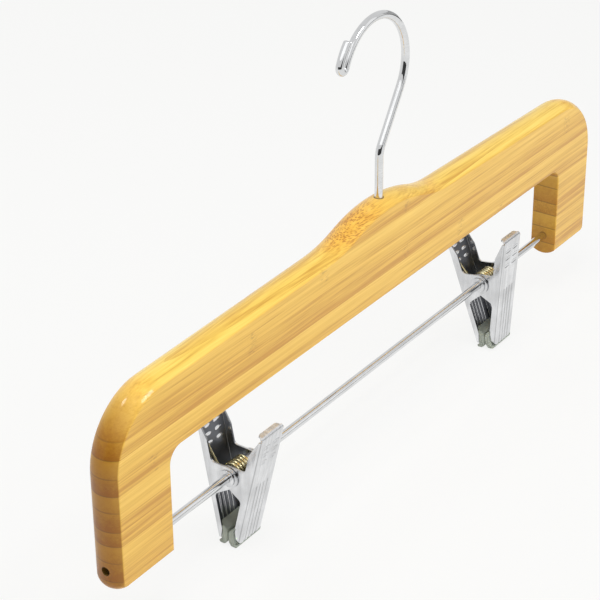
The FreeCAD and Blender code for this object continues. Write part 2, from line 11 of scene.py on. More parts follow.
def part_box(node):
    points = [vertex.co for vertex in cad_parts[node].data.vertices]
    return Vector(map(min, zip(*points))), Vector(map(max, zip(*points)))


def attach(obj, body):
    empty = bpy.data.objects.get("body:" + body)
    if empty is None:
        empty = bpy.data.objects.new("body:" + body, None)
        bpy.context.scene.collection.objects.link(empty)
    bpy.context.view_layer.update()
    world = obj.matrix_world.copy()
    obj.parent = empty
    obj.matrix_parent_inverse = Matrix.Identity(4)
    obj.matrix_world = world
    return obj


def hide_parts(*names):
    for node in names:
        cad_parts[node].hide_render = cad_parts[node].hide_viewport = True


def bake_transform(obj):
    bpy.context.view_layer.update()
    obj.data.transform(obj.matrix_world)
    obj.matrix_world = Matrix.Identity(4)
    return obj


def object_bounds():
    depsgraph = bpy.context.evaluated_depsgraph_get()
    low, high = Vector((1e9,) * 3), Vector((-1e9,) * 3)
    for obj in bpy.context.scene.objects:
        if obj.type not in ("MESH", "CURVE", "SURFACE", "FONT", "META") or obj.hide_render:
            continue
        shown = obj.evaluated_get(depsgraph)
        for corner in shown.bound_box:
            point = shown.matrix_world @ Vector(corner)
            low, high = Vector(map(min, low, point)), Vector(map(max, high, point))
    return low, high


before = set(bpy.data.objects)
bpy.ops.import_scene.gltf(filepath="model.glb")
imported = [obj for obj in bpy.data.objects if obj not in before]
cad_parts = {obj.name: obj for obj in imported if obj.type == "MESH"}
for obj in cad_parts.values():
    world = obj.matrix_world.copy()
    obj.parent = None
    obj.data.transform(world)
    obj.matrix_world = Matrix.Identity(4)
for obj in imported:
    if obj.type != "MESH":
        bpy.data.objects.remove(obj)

bl_info = {
    "name": "Skirt Hanger Looks",
    "version": (1, 0, 0),
    "blender": (4, 5, 0),
    "location": "View3D > Sidebar > Hanger",
    "description": "Dresses the solid pieces of a bamboo skirt hanger",
    "category": "Object",
}

CAD_LOW, CAD_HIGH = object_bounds()
MM = 0.001
SIDES = ("left", "right")
JAWS = ("back", "front")
X_AXIS, Z_AXIS = Vector((1, 0, 0)), Vector((0, 0, 1))
WHITE = (1.0, 1.0, 1.0)

# How far each clip is turned on the rod, and how far each jaw leans away from the clip's middle.
CLIP_TILTS = {"left": math.radians(1.5), "right": math.radians(-8.8)}
JAW_LEAN = math.radians(11.9)

# The kinds of node used most.
MATH, VECTOR_MATH, MAP_RANGE = "ShaderNodeMath", "ShaderNodeVectorMath", "ShaderNodeMapRange"
MIX, RAMP, NOISE = "ShaderNodeMix", "ShaderNodeValToRGB", "ShaderNodeTexNoise"
# Pairs of inputs that set a range, and the inputs of a colour mix: its share and two colours.
FROM, TO = ("From Min", "From Max"), ("To Min", "To Max")
SHARE, FIRST, SECOND = 0, 6, 7
FADE_OUT = (1.0, 0.0)


def linear(colour):
    """The linear values of an sRGB hex colour."""
    channels = [int(colour[i:i + 2], 16) / 255 for i in (1, 3, 5)]
    return tuple(c / 12.92 if c <= 0.04045 else ((c + 0.055) / 1.055) ** 2.4 for c in channels)


def rgba(colour):
    return (*colour, 1.0)


def dimmed(colour, share):
    return tuple(share * channel for channel in colour)


def add(tree, kind, inputs=None, **settings):
    """Add a node with its settings. An input takes a value, a socket or a node's first output, and
    a pair of inputs takes a pair of values."""
    node = tree.nodes.new(kind)
    for name, value in settings.items():
        setattr(node, name, value)
    for key, value in (inputs or {}).items():
        if isinstance(key, tuple):
            for name, limit in zip(key, value):
                node.inputs[name].default_value = limit
            continue
        if isinstance(value, bpy.types.Node):
            value = next(socket for socket in value.outputs if socket.enabled)
        if isinstance(value, bpy.types.NodeSocket):
            tree.links.new(value, node.inputs[key])
        else:
            node.inputs[key].default_value = value
    return node


def new_material(name):
    material = bpy.data.materials.new(name)
    material.use_nodes = True
    material.node_tree.nodes.clear()
    return material, material.node_tree


def set_stops(ramp, stops):
    """Give a colour ramp its stops, as pairs of place and colour or grey level."""
    elements = ramp.color_ramp.elements
    while len(elements) > len(stops):
        elements.remove(elements[-1])
    while len(elements) < len(stops):
        elements.new(1.0)
    for element, (place, colour) in zip(elements, stops):
        element.position = place
        element.color = rgba((colour,) * 3 if isinstance(colour, float) else colour)


# Sizes and colours that a user would change

class HangerBamboo(bpy.types.PropertyGroup):
    strip_height: bpy.props.FloatProperty(
        name="Strip height", description="Mean height of the glued bamboo strips",
        default=7.0 * MM, unit="LENGTH")
    bundle_pitch: bpy.props.FloatProperty(
        name="Fibre pitch", description="Spacing of the fibre bundles across the strip",
        default=0.95 * MM, unit="LENGTH")
    pale: bpy.props.FloatVectorProperty(
        name="Pale bamboo", description="Colour of the palest streaks", subtype="COLOR",
        default=linear("#f3c95d"))
    honey: bpy.props.FloatVectorProperty(
        name="Honey bamboo", description="Colour of most of the board", subtype="COLOR",
        default=linear("#e5b648"))
    tan: bpy.props.FloatVectorProperty(
        name="Tan bamboo", description="Colour of the darkest streaks", subtype="COLOR",
        default=linear("#c88f2c"))
    fibre: bpy.props.FloatVectorProperty(
        name="Fibre", description="Colour of the cut fibre bundles", subtype="COLOR",
        default=linear("#a5621a"))


class HangerMetal(bpy.types.PropertyGroup):
    chrome: bpy.props.FloatVectorProperty(
        name="Chrome", description="Colour of the bright plate on wire and rod", subtype="COLOR",
        default=linear("#e5e6e7"))
    sheet: bpy.props.FloatVectorProperty(
        name="Sheet", description="Colour of the duller plate on the jaws", subtype="COLOR",
        default=linear("#e9eaec"))
    brass: bpy.props.FloatVectorProperty(
        name="Brass", description="Colour of the brassed spring wire", subtype="COLOR",
        default=linear("#e2d8ae"))
    zinc: bpy.props.FloatVectorProperty(
        name="Zinc", description="Colour of the zinc plate on the washer", subtype="COLOR",
        default=linear("#a9adb0"))


class HangerVinyl(bpy.types.PropertyGroup):
    grip: bpy.props.FloatVectorProperty(
        name="Grip vinyl", description="Colour of the soft grips", subtype="COLOR",
        default=linear("#a9b0a4"))


class HangerSpring(bpy.types.PropertyGroup):
    wire: bpy.props.FloatProperty(
        name="Wire", description="Diameter of the spring wire", default=1.15 * MM, unit="LENGTH")
    radius: bpy.props.FloatProperty(
        name="Coil radius", description="Radius of the coil at the middle of its wire",
        default=4.3 * MM, unit="LENGTH")
    pitch: bpy.props.FloatProperty(
        name="Pitch", description="Distance between turns", default=1.66 * MM, unit="LENGTH")
    start: bpy.props.FloatProperty(
        name="Start", description="Place of the first leg beside the clip's middle",
        default=-5.625 * MM, unit="LENGTH")
    leg: bpy.props.FloatProperty(
        name="Leg", description="Length of each straight leg", default=14.5 * MM, unit="LENGTH")
    leg_angle: bpy.props.FloatProperty(
        name="Leg angle", description="Lean of the legs from the clip's middle plane",
        default=math.radians(33), subtype="ANGLE")
    turns: bpy.props.IntProperty(name="Turns", description="Whole turns of the coil", default=5)


class HangerBumps(bpy.types.PropertyGroup):
    length: bpy.props.FloatProperty(
        name="Length", description="Length of a bump, across the tab", default=4.2 * MM, unit="LENGTH")
    width: bpy.props.FloatProperty(
        name="Width", description="Width of a bump, along the tab", default=1.7 * MM, unit="LENGTH")
    height: bpy.props.FloatProperty(
        name="Height", description="How far a bump stands out", default=0.2 * MM, unit="LENGTH")
    start: bpy.props.FloatProperty(
        name="First row", description="Height of the first row above the rod",
        default=11.4 * MM, unit="LENGTH")
    row_pitch: bpy.props.FloatProperty(
        name="Row pitch", description="Distance between rows", default=3.7 * MM, unit="LENGTH")
    column_pitch: bpy.props.FloatProperty(
        name="Column pitch", description="Distance between columns", default=6.2 * MM, unit="LENGTH")
    rib_length: bpy.props.FloatProperty(
        name="Rib length", description="Length of a rib behind a groove",
        default=22.0 * MM, unit="LENGTH")
    rib_width: bpy.props.FloatProperty(
        name="Rib width", description="Width of a rib", default=1.1 * MM, unit="LENGTH")
    rib_pitch: bpy.props.FloatProperty(
        name="Rib pitch", description="Distance between ribs", default=2.4 * MM, unit="LENGTH")
    rib_start: bpy.props.FloatProperty(
        name="Rib start", description="How far below the rod the ribs start",
        default=0.8 * MM, unit="LENGTH")


class HangerStage(bpy.types.PropertyGroup):
    floor: bpy.props.FloatVectorProperty(
        name="Floor", description="Colour of the pale floor", subtype="COLOR",
        default=linear("#f9f9f8"))
    azimuth: bpy.props.FloatProperty(
        name="Azimuth", description="Camera's turn round the hanger from its front",
        default=math.radians(-55.019), subtype="ANGLE")
    elevation: bpy.props.FloatProperty(
        name="Elevation", description="Camera's height above the horizon",
        default=math.radians(28.188), subtype="ANGLE")
    roll: bpy.props.FloatProperty(
        name="Roll", description="Camera's turn about its own line of sight",
        default=math.radians(-0.512), subtype="ANGLE")
    lens: bpy.props.FloatProperty(
        name="Lens", description="Focal length in millimetres", default=115.49)


# Finishes

# Bamboo's strips: how unevenly high they are, how their seams wander, and a shift that keeps one
# strip's streaks from running on in the next.
STRIP_SPREAD = 0.55
STRIP_SHIFT = 53.0
SEAM_WANDER = 1.4 * MM
SEAM_WAVES_PER_METRE = (8.0, 30.0, 20.0)
# Its streaks and specks, as lengths along the board, through it and up it.
BROAD_STREAK = (120 * MM, 2.4 * MM, 2.0 * MM)
FINE_STREAK = (34 * MM, 0.8 * MM, 0.55 * MM)
JOINT_SPECK = (2.2 * MM, 0.8 * MM, 0.8 * MM)
STREAK_NOISE = {"Scale": 1.0, "Detail": 3.0, "Roughness": 0.6}
# Its fibre bundles: length, height as a share of their pitch, unevenness, and the dot's soft edge.
BUNDLE_LENGTH = 30 * MM
BUNDLE_HEIGHT_SHARE = 0.3
BUNDLE_SPREAD = 0.9
DOT_EDGE = (0.2, 0.55)
# The stalk's joints: their spacing, half a joint's band as shares of it, and how its flecks show.
JOINT_SPACING = 250 * MM
JOINT_BAND = (0.004, 0.016)
FLECK_EDGE = (0.48, 0.68)
FLECK_SHARE = 0.4
# What makes the tone: each strip's own on the faces, on the ends and at least, its darkening towards
# the skin, and the streaks; then the middle tone, and the tones of the three colours.
FACE_SHARE, END_SHARE, LEAST_SHARE = 0.26, 0.3, 0.04
SKIN_SHARE = 0.55
BROAD_SHARE, FINE_SHARE = 0.7, 0.66
MIDDLE_TONE = 0.47
TAN_TONE, HONEY_TONE, PALE_TONE = 0.25, 0.48, 0.75
# Where effects start and are full, by how squarely a face cuts the fibres: 0 is along, 1 is across.
BROWNED_SLOPES = (0.22, 0.98)
CALM_SLOPES = (0.2, 0.6)
TOP_LIGHT_SLOPES = (0.04, 0.2)
SAWN_SLOPES = (0.6, 0.95)
FIBRE_END_STOPS = ((0.02, 0.3), (0.22, 0.85), (0.4, 0.8), (0.6, 0.22), (1.0, 0.15))
# The same for the painted top light, by how far a face looks up.
UPWARD_TURNS = (0.5, 0.95)
# Where they start and are full on the board: up the hump, up to its speckled flank, along that flank,
# along the flank past the hook, and out to the legs.
HUMP_LEVELS = (-84.0 * MM, -82.5 * MM)
SPECKLED_LEVELS = (-85.4 * MM, -82.8 * MM)
SPECKLED_PLACES = (2.0 * MM, -7.0 * MM)
PALE_PLACES = (1.0 * MM, 8.0 * MM)
LEG_PLACES = (152 * MM, 165 * MM)
# How much of each effect there is.
BROWNED_SHARE = 0.9
# Less browning on the legs' inner faces: painted light in their shade.
INNER_LIT_BROWNED_SHARE = 0.5
CALM_SHARE = 0.4
# The next two shares shape where the painted top light falls on the hump.
HUMP_SHARE = 0.8
PALE_FLANK_SHARE = 0.65
FAINT_DOTS = 0.08
GLUE_SHARE = 0.62
# Half a glue line's soft edge, as shares of a strip's height.
GLUE_EDGE = (0.01, 0.055)
# Colours that darken or lighten the wood, the lightening being painted top light, and those of the joints,
# the glue and the drilled holes.
BROWNED_FILTER = linear("#b6973c")
TOP_LIGHT_FILTER = (0.98, 1.1, 1.3)
FIBRE_FILTER = linear("#fdf4e6")
JOINT_BROWN = linear("#9a6526")
GLUE_BROWN = linear("#6f4a1c")
# The holes' rim brown is partly grease and partly painted shade.
BORE_RIM_SHADE_BROWN = linear("#4a2f12")
# Edges of the drilled holes, and how wide and strong their dark rims are: partly a greasy, burnt edge and
# partly painted shade of the gap round the hook and the rod.
HOOK_BORE_EDGE = 2.0 * MM
ROD_BORE_EDGE = 1.75 * MM
BORE_RIM = 0.3 * MM
BORE_RIM_SHARE = 0.88
# The lacquer: roughness between and on the fibres, their relief, and the clear coat, thinner on ends.
LACQUER_ROUGHNESS = (0.36, 0.52)
FIBRE_RELIEF = 0.1 * MM
FIBRE_RELIEF_STRENGTH = 0.12
COAT_WEIGHTS = (0.6, 0.2)
COAT_ROUGHNESS = 0.12


def lacquered_bamboo(look, rod_axis):
    """Split bamboo glued in stacked strips, smoothed with abrasive and lacquered: long honey streaks
    of differing tone on the faces, dotted fibre ends where the shape cuts across them, a satin gloss,
    and painted top light that makes faces looking up paler."""
    material, tree = new_material("lacquered_bamboo")
    place = add(tree, "ShaderNodeTexCoord")
    at = place.outputs["Object"]
    axes = add(tree, "ShaderNodeSeparateXYZ", {0: at})
    # The seams wander by about half a millimetre along the board.
    drift = add(tree, NOISE, {
        "Vector": add(tree, "ShaderNodeMapping", {"Vector": at, "Scale": SEAM_WAVES_PER_METRE}),
        "Scale": 1.0, "Detail": 1.0})
    height = add(tree, MATH, {0: drift, 1: SEAM_WANDER, 2: axes.outputs["Z"]}, operation="MULTIPLY_ADD")
    level = add(tree, MATH, {0: height, 1: look.strip_height}, operation="DIVIDE")
    stack = {"W": level, "Scale": 1.0, "Randomness": STRIP_SPREAD}
    strip = add(tree, "ShaderNodeTexVoronoi", stack, voronoi_dimensions="1D")
    seam = add(tree, "ShaderNodeTexVoronoi", stack, voronoi_dimensions="1D", feature="DISTANCE_TO_EDGE")
    own = add(tree, "ShaderNodeSeparateColor", {0: strip.outputs["Color"]})
    # Each strip is denser, and so darker, towards the stalk's skin.
    depth = add(tree, MATH, {0: level, 1: strip.outputs["W"]}, operation="SUBTRACT")

    def grain(size):
        """Coordinates stretched to a grain's real size, shifted so that strips don't match."""
        return add(tree, VECTOR_MATH, {
            0: add(tree, "ShaderNodeMapping", {"Vector": at, "Scale": tuple(1 / side for side in size)}),
            1: add(tree, VECTOR_MATH, {0: strip.outputs["Color"], "Scale": STRIP_SHIFT},
                   operation="SCALE")})

    broad = add(tree, NOISE, {"Vector": grain(BROAD_STREAK), **STREAK_NOISE})
    fine = add(tree, NOISE, {"Vector": grain(FINE_STREAK), **STREAK_NOISE})
    bundle_size = (BUNDLE_LENGTH, look.bundle_pitch, BUNDLE_HEIGHT_SHARE * look.bundle_pitch)
    bundle = add(tree, "ShaderNodeTexVoronoi", {
        "Vector": grain(bundle_size), "Scale": 1.0, "Randomness": BUNDLE_SPREAD})
    dots = add(tree, MAP_RANGE, {
        "Value": bundle, FROM: DOT_EDGE, TO: FADE_OUT}, interpolation_type="SMOOTHSTEP")

    # How squarely the face cuts across the fibres
    facing = add(tree, "ShaderNodeSeparateXYZ", {0: place.outputs["Normal"]})
    slope = add(tree, MATH, {0: facing.outputs["X"]}, operation="ABSOLUTE")
    square = add(tree, MAP_RANGE, {
        "Value": slope, FROM: BROWNED_SLOPES, TO: (0.0, BROWNED_SHARE)}, interpolation_type="SMOOTHSTEP")

    # Tone from dark to pale: the strip's own, the streaks, which calm down on the ends, and its depth.
    flat = add(tree, MATH, {0: facing.outputs["Y"]}, operation="ABSOLUTE")
    on_face = add(tree, MATH, {0: flat, 1: FACE_SHARE, 2: LEAST_SHARE}, operation="MULTIPLY_ADD")
    own_share = add(tree, MATH, {0: square, 1: END_SHARE, 2: on_face}, operation="MULTIPLY_ADD")
    own_tone = add(tree, MATH, {0: own.outputs["Red"], 1: 0.5}, operation="SUBTRACT")
    tone = add(tree, MATH, {0: own_tone, 1: own_share}, operation="MULTIPLY")
    streaky = add(tree, MAP_RANGE, {"Value": slope, FROM: CALM_SLOPES, TO: (1.0, CALM_SHARE)})
    for streak, share in ((broad, BROAD_SHARE), (fine, FINE_SHARE)):
        swing = add(tree, MATH, {0: streak, 1: share, 2: -0.5 * share}, operation="MULTIPLY_ADD")
        tone = add(tree, MATH, {0: swing, 1: streaky, 2: tone}, operation="MULTIPLY_ADD")
    skin = add(tree, MATH, {0: depth, 1: own_share}, operation="MULTIPLY")
    tone = add(tree, MATH, {0: skin, 1: SKIN_SHARE, 2: tone}, operation="MULTIPLY_ADD")
    tone = add(tree, MATH, {0: tone, 1: MIDDLE_TONE}, operation="ADD")
    wood = add(tree, RAMP, {0: tone})
    set_stops(wood, [(TAN_TONE, look.tan), (HONEY_TONE, look.honey), (PALE_TONE, look.pale)])

    # The ends drink the lacquer and turn browner; the legs' inner faces are browned less, painted light
    # that lifts their shade under the board.
    outer = add(tree, MAP_RANGE, {
        "Value": add(tree, MATH, {0: axes.outputs["X"]}, operation="ABSOLUTE"),
        FROM: LEG_PLACES, TO: (INNER_LIT_BROWNED_SHARE, 1.0)})
    browned = add(tree, MIX, {
        SHARE: add(tree, MATH, {0: square, 1: outer}, operation="MULTIPLY"),
        FIRST: wood, SECOND: rgba(BROWNED_FILTER)}, data_type="RGBA", blend_type="MULTIPLY")

    # Painted top light: faces that look up are a paler yellow, but for the hump's left flank with its
    # fibre ends.
    upward = add(tree, MAP_RANGE, {
        "Value": facing.outputs["Z"], FROM: UPWARD_TURNS}, interpolation_type="SMOOTHSTEP")
    along = add(tree, MAP_RANGE, {"Value": slope, FROM: TOP_LIGHT_SLOPES, TO: FADE_OUT})
    on_hump = add(tree, MAP_RANGE, {"Value": axes.outputs["Z"], FROM: HUMP_LEVELS})
    off_hump = add(tree, MATH, {0: on_hump, 1: -HUMP_SHARE, 2: 1.0}, operation="MULTIPLY_ADD")
    level_top = add(tree, MATH, {0: along, 1: off_hump}, operation="MULTIPLY")
    past_hook = add(tree, MAP_RANGE, {
        "Value": axes.outputs["X"], FROM: PALE_PLACES, TO: (0.0, PALE_FLANK_SHARE)})
    pale_flank = add(tree, MATH, {0: past_hook, 1: on_hump}, operation="MULTIPLY")
    pale = add(tree, MATH, {0: level_top, 1: pale_flank}, operation="MAXIMUM")
    painted_top_light = add(tree, MATH, {0: upward, 1: pale}, operation="MULTIPLY")
    top_lit = add(tree, MIX, {
        SHARE: painted_top_light, FIRST: browned, SECOND: rgba(TOP_LIGHT_FILTER)},
        data_type="RGBA", blend_type="MULTIPLY")

    # The fibre ends: plain dots on that flank, and hardly any elsewhere.
    oblique = add(tree, RAMP, {0: slope})
    set_stops(oblique, FIBRE_END_STOPS)
    near_hump = add(tree, MAP_RANGE, {"Value": axes.outputs["Z"], FROM: SPECKLED_LEVELS})
    before_hook = add(tree, MAP_RANGE, {"Value": axes.outputs["X"], FROM: SPECKLED_PLACES})
    coarse = add(tree, MATH, {0: near_hump, 1: before_hook}, operation="MULTIPLY")
    dense = add(tree, MIX, {
        SHARE: add(tree, MATH, {0: coarse, 1: oblique}, operation="MULTIPLY"),
        FIRST: top_lit, SECOND: rgba(FIBRE_FILTER)}, data_type="RGBA", blend_type="MULTIPLY")
    cut = add(tree, MATH, {0: dots, 1: oblique}, operation="MULTIPLY")
    shown = add(tree, MATH, {0: coarse, 1: 1 - FAINT_DOTS, 2: FAINT_DOTS}, operation="MULTIPLY_ADD")
    fibred = add(tree, MIX, {
        SHARE: add(tree, MATH, {0: cut, 1: shown}, operation="MULTIPLY"),
        FIRST: dense, SECOND: rgba(look.fibre)}, data_type="RGBA")

    # The stalk's joints: a short speckled band at its own place on each strip.
    turn = add(tree, MATH, {
        0: axes.outputs["X"], 1: 1 / JOINT_SPACING, 2: own.outputs["Blue"]}, operation="MULTIPLY_ADD")
    phase = add(tree, MATH, {0: turn}, operation="FRACT")
    from_joint = add(tree, MATH, {
        0: add(tree, MATH, {0: phase, 1: 0.5}, operation="SUBTRACT")}, operation="ABSOLUTE")
    joint = add(tree, MAP_RANGE, {
        "Value": from_joint, FROM: JOINT_BAND, TO: FADE_OUT}, interpolation_type="SMOOTHSTEP")
    speckle = add(tree, NOISE, {"Vector": grain(JOINT_SPECK), "Scale": 1.0, "Detail": 2.0})
    flecks = add(tree, MAP_RANGE, {"Value": speckle, FROM: FLECK_EDGE, TO: (0.0, FLECK_SHARE)})
    jointed = add(tree, MIX, {
        SHARE: add(tree, MATH, {0: joint, 1: flecks}, operation="MULTIPLY"),
        FIRST: fibred, SECOND: rgba(JOINT_BROWN)}, data_type="RGBA")

    # Thin glue lines on the sawn ends, and dark rims in the drilled holes of the hook and the rod, partly
    # grease and partly painted shade.
    glue = add(tree, MAP_RANGE, {"Value": seam, FROM: GLUE_EDGE, TO: (GLUE_SHARE, 0.0)})
    sawn = add(tree, MAP_RANGE, {"Value": slope, FROM: SAWN_SLOPES})
    finish = add(tree, MIX, {
        SHARE: add(tree, MATH, {0: glue, 1: sawn}, operation="MULTIPLY"),
        FIRST: jointed, SECOND: rgba(GLUE_BROWN)}, data_type="RGBA")
    hook_bore = ((1.0, 1.0, 0.0), (0.0, 0.0, 0.0), HOOK_BORE_EDGE)
    rod_bore = ((0.0, 1.0, 1.0), tuple(rod_axis), ROD_BORE_EDGE)
    for across, centre, edge in (hook_bore, rod_bore):
        from_centre = add(tree, VECTOR_MATH, {0: at, 1: centre}, operation="SUBTRACT")
        from_axis = add(tree, VECTOR_MATH, {
            0: add(tree, VECTOR_MATH, {0: from_centre, 1: across}, operation="MULTIPLY")},
            operation="LENGTH")
        rim = add(tree, MAP_RANGE, {
            "Value": from_axis.outputs["Value"], FROM: (edge, edge + BORE_RIM), TO: (BORE_RIM_SHARE, 0.0)},
            interpolation_type="SMOOTHSTEP")
        finish = add(tree, MIX, {SHARE: rim, FIRST: finish, SECOND: rgba(BORE_RIM_SHADE_BROWN)}, data_type="RGBA")

    relief = add(tree, "ShaderNodeBump", {
        "Strength": FIBRE_RELIEF_STRENGTH, "Distance": FIBRE_RELIEF, "Height": fine})
    surface = add(tree, "ShaderNodeBsdfPrincipled", {
        "Base Color": finish, "Normal": relief,
        "Roughness": add(tree, MAP_RANGE, {"Value": fine, TO: LACQUER_ROUGHNESS}),
        "IOR": 1.5, "Specular IOR Level": 0.3, "Coat Roughness": COAT_ROUGHNESS,
        "Coat Weight": add(tree, MAP_RANGE, {"Value": square, TO: COAT_WEIGHTS})})
    add(tree, "ShaderNodeOutputMaterial", {"Surface": surface})
    return material


# Chromium plate: size of its cloudy handling, the haze at which it is dull and bright, the least and
# most of its roughness as shares, and the relief of the drawn steel under it.
HANDLING_SIZE = 9 * MM
HAZE_DULL, HAZE_BRIGHT, HAZE_MOST = 0.12, 0.38, 0.5
ROUGHNESS_SHARES = (0.6, 1.5)
DRAWN_RELIEF = 0.05 * MM
DRAWN_RELIEF_SHARE = 0.3
# Painted shade on the walls of the grooves, and of the deeper dents: how dark they are as they turn from
# the plate's face.
GROOVE_SHADE_STOPS = ((0.7, 1.0), (0.8, 0.66), (0.9, 0.7), (0.935, 1.0))
DENT_SHADE_STOPS = ((0.66, 1.0), (0.76, 0.36), (0.9, 0.42), (0.935, 1.0))
# The dents lie above the rod and below the tab's lip, away from the sheet's bends.
TAB_START = (4 * MM, 6 * MM)
TAB_END = (19.2 * MM, 20.2 * MM)
BEND_TURNS = (0.3, 0.5)
# Faces that look to the rod from further than this are duller and painted dark as shade; the lips' tops
# are dull too.
INSIDE_DEPTHS = (-6 * MM, -3 * MM)
INSIDE_SHADE_STEEL = linear("#6c6e73")
INSIDE_ROUGHNESS = 0.14
LIP_TURNS = (0.6, 0.9)
LIP_ROUGHNESS = 0.3


def bright_chrome(name, colour, streak, roughness, contrast, inside=None):
    """Bright chromium plate: a mirror of its surroundings, softened a little by the drawing or
    rolling of the steel under it, with faint cloudy handling. Faces turned to the inside line,
    given as a point on an axis along X, are duller and painted dark as shade, and the walls of its
    pressed grooves and dents are painted with shade too."""
    material, tree = new_material(name)
    place = add(tree, "ShaderNodeTexCoord")
    at = place.outputs["Object"]
    stretch = tuple(1 / side for side in streak)
    drawn = add(tree, NOISE, {
        "Vector": add(tree, "ShaderNodeMapping", {"Vector": at, "Scale": stretch}),
        "Scale": 1.0, "Detail": 3.0})
    cloud = add(tree, NOISE, {"Vector": at, "Scale": 1 / HANDLING_SIZE, "Detail": 2.0})
    haze = add(tree, MATH, {0: drawn, 1: cloud}, operation="MULTIPLY")
    plate = add(tree, RAMP, {0: haze})
    set_stops(plate, [(HAZE_DULL, dimmed(colour, 1 - contrast)), (HAZE_BRIGHT, colour)])
    gloss = add(tree, MAP_RANGE, {
        "Value": haze, FROM: (0.0, HAZE_MOST), TO: [roughness * share for share in ROUGHNESS_SHARES]})
    if inside:
        turned = add(tree, "ShaderNodeSeparateXYZ", {0: place.outputs["Normal"]})
        tilt = add(tree, MATH, {0: turned.outputs["Y"]}, operation="ABSOLUTE")
        # Painted shade on the walls of the pressed grooves and dents, multiplied into the plate's colour.
        groove = add(tree, RAMP, {0: tilt})
        set_stops(groove, GROOVE_SHADE_STOPS)
        dent_shade = add(tree, RAMP, {0: tilt})
        set_stops(dent_shade, DENT_SHADE_STOPS)
        height = add(tree, "ShaderNodeSeparateXYZ", {0: at}).outputs["Z"]
        above_rod = add(tree, MAP_RANGE, {"Value": height, FROM: [inside.z + rise for rise in TAB_START]})
        below_lip = add(tree, MAP_RANGE, {
            "Value": height, FROM: [inside.z + rise for rise in TAB_END], TO: FADE_OUT})
        on_tab = add(tree, MATH, {0: above_rod, 1: below_lip}, operation="MULTIPLY")
        sideways = add(tree, MATH, {0: turned.outputs["X"]}, operation="ABSOLUTE")
        off_bend = add(tree, MAP_RANGE, {"Value": sideways, FROM: BEND_TURNS, TO: FADE_OUT})
        pressed = add(tree, MIX, {
            SHARE: add(tree, MATH, {0: on_tab, 1: off_bend}, operation="MULTIPLY"),
            FIRST: groove, SECOND: dent_shade}, data_type="RGBA")
        tint = add(tree, MIX, {
            SHARE: 1.0, FIRST: plate, SECOND: pressed}, data_type="RGBA", blend_type="MULTIPLY")
        # Painted shade: faces that look to the rod from the inside turn a dark steel grey.
        from_line = add(tree, VECTOR_MATH, {0: at, 1: (0.0, inside.y, inside.z)}, operation="SUBTRACT")
        outward = add(tree, VECTOR_MATH, {0: from_line, 1: (0.0, 1.0, 1.0)}, operation="MULTIPLY")
        away = add(tree, VECTOR_MATH, {0: outward, 1: place.outputs["Normal"]}, operation="DOT_PRODUCT")
        shaded_inside = add(tree, MAP_RANGE, {"Value": away.outputs["Value"], FROM: INSIDE_DEPTHS, TO: FADE_OUT})
        plate = add(tree, MIX, {SHARE: shaded_inside, FIRST: tint, SECOND: rgba(INSIDE_SHADE_STEEL)}, data_type="RGBA")
        gloss = add(tree, MATH, {0: shaded_inside, 1: INSIDE_ROUGHNESS, 2: gloss}, operation="MULTIPLY_ADD")
        lip = add(tree, MAP_RANGE, {
            "Value": turned.outputs["Z"], FROM: LIP_TURNS, TO: (0.0, LIP_ROUGHNESS)})
        gloss = add(tree, MATH, {0: gloss, 1: lip}, operation="ADD")
    relief = add(tree, "ShaderNodeBump", {
        "Strength": DRAWN_RELIEF_SHARE * roughness, "Distance": DRAWN_RELIEF, "Height": drawn})
    surface = add(tree, "ShaderNodeBsdfPrincipled", {
        "Base Color": plate, "Metallic": 1.0, "Normal": relief, "Roughness": gloss})
    add(tree, "ShaderNodeOutputMaterial", {"Surface": surface})
    return material


TARNISH_SIZE = 1.6 * MM
TARNISH_SHARE = 0.72
TARNISH_ROUGHNESS = (0.32, 0.14)


def brassed_wire(colour):
    """Brassed steel wire: warm and bright, with darker and duller specks of tarnish."""
    material, tree = new_material("brassed_wire")
    at = add(tree, "ShaderNodeTexCoord").outputs["Object"]
    tarnish = add(tree, NOISE, {"Vector": at, "Scale": 1 / TARNISH_SIZE, "Detail": 3.0})
    tint = add(tree, RAMP, {0: tarnish})
    set_stops(tint, [(0.3, dimmed(colour, TARNISH_SHARE)), (0.55, colour)])
    surface = add(tree, "ShaderNodeBsdfPrincipled", {
        "Base Color": tint, "Metallic": 1.0,
        "Roughness": add(tree, MAP_RANGE, {"Value": tarnish, TO: TARNISH_ROUGHNESS})})
    add(tree, "ShaderNodeOutputMaterial", {"Surface": surface})
    return material


CRYSTAL_SIZE = 0.8 * MM
CRYSTAL_SHARE = 0.75
CRYSTAL_ROUGHNESS = (0.35, 0.5)


def zinc_plate(colour):
    """Zinc plate on a small washer: dull blue-grey with a fine crystalline mottle."""
    material, tree = new_material("zinc_plate")
    at = add(tree, "ShaderNodeTexCoord").outputs["Object"]
    mottle = add(tree, "ShaderNodeTexVoronoi", {"Vector": at, "Scale": 1 / CRYSTAL_SIZE})
    tint = add(tree, RAMP, {0: mottle})
    set_stops(tint, [(0.0, colour), (0.8, dimmed(colour, CRYSTAL_SHARE))])
    surface = add(tree, "ShaderNodeBsdfPrincipled", {
        "Base Color": tint, "Metallic": 1.0,
        "Roughness": add(tree, MAP_RANGE, {"Value": mottle, TO: CRYSTAL_ROUGHNESS})})
    add(tree, "ShaderNodeOutputMaterial", {"Surface": surface})
    return material


VINYL_GRAIN = 0.35 * MM
VINYL_GRAIN_RELIEF = 0.05 * MM
VINYL_ROUGHNESS = (0.38, 0.55)
DUST_SIZE = 4 * MM
DUST_SHARE = 0.8
VINYL_GLOW_DEPTH = 1.0 * MM


